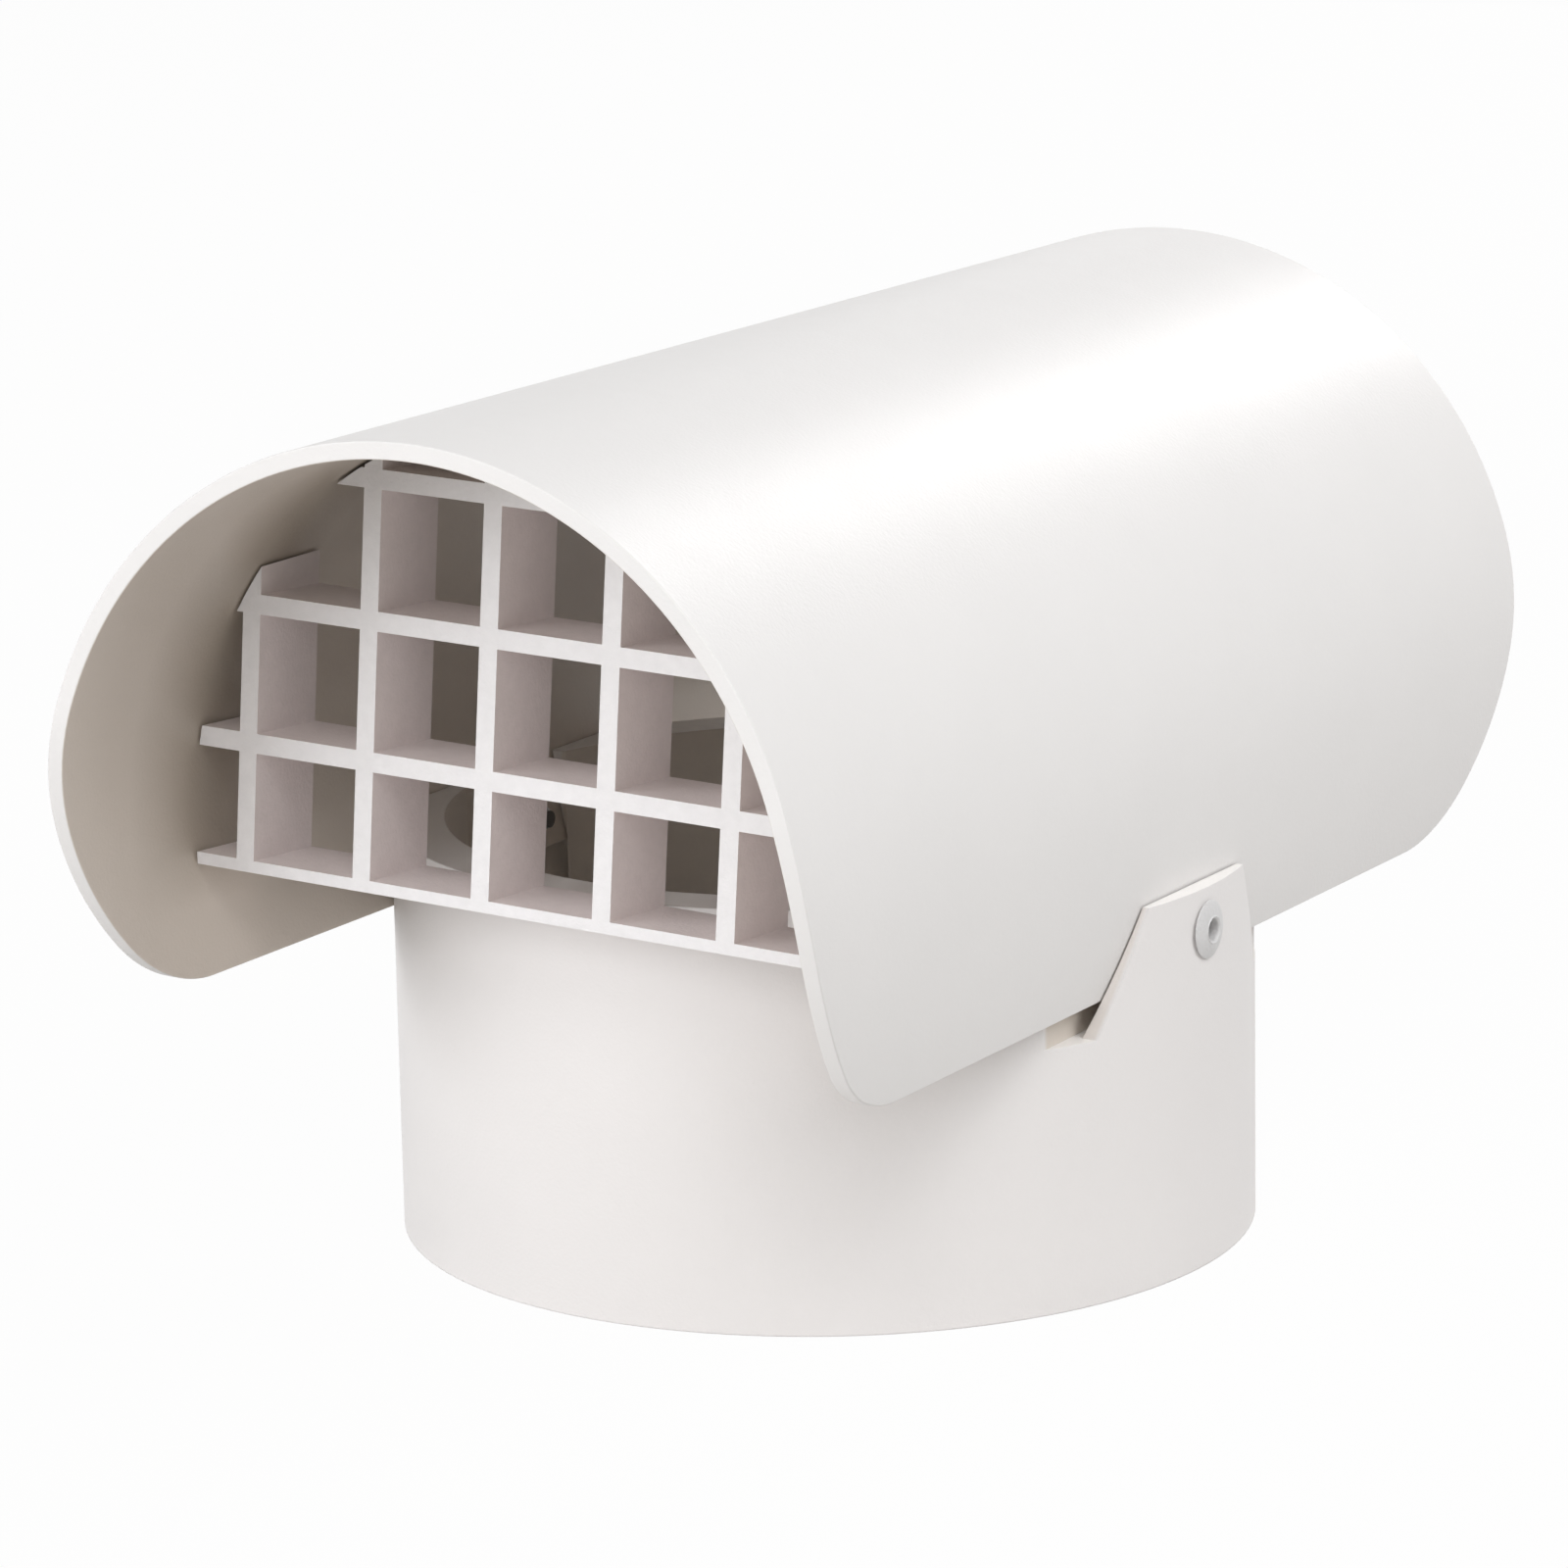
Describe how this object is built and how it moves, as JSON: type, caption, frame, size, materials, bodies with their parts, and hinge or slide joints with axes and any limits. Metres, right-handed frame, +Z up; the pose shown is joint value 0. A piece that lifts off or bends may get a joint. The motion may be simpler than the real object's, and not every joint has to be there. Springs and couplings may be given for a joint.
{
  "type": "radon vent cap",
  "caption": "Tunnel-shaped radon vent cap: white plastic hood with an egg-crate grille in each mouth, riveted over a short pipe collar.",
  "frame": {"origin": "centre of the bottom edge of the collar", "axes": "+Z up along the collar, Y along the tunnel of the hood, -Y out of the mouth the picture shows, +X toward the ear the picture shows"},
  "size_m": [0.0906, 0.1532, 0.0931],
  "materials": {
    "pipe_plastic": "satin",
    "hood_plastic": "satin",
    "grille_plastic": "satin",
    "rivet_paint": "satin",
    "mandrel_steel": "dull"
  },
  "bodies": {
    "root": {"collar": "pipe_plastic", "hood": "hood_plastic", "grille_front": "grille_plastic", "grille_back": "grille_plastic", "rivet_right": "rivet_paint", "rivet_left": "rivet_paint", "mandrel_right": "mandrel_steel", "mandrel_left": "mandrel_steel"}
  },
  "joints": []
}
